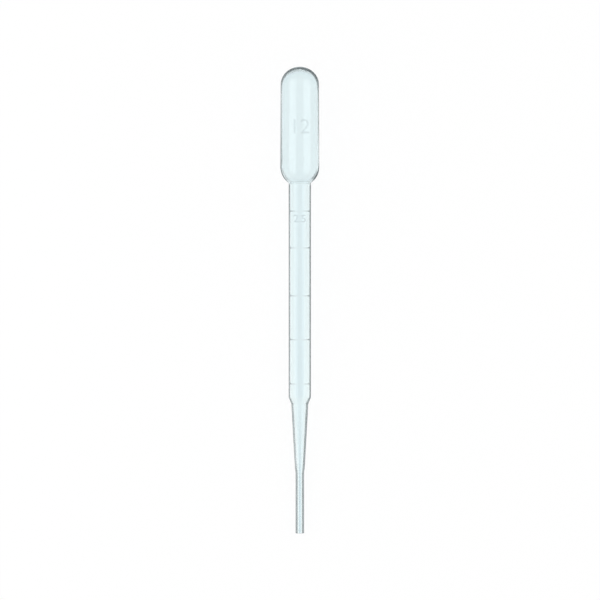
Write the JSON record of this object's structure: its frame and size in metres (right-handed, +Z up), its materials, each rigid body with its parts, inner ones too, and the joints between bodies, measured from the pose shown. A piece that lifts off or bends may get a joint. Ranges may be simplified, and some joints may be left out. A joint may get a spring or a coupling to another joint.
{
  "type": "dropper pipette",
  "caption": "One-piece hollow dropper pipette in soft translucent plastic: a squeeze bulb, a straight graduated stem, and a taper that ends in a thin parallel tip.",
  "frame": {"origin": "the middle of the pipette's length and width, on the flat surface that it lies on", "axes": "+Y towards the bulb, +Z up out of the surface, with the graduations on the upper side, and X across the mould seam; the pipette's own axis lies in the YZ plane and rises 2.1 degrees from the tip to the bulb"},
  "size_m": [0.013, 0.155, 0.0137],
  "materials": {
    "polythene": "thin natural polythene: clear to milky with a faint cool tint, softly glossy, darker at its edges where the wall is seen edge on"
  },
  "bodies": {
    "root": {"pipette": "polythene"}
  },
  "joints": []
}
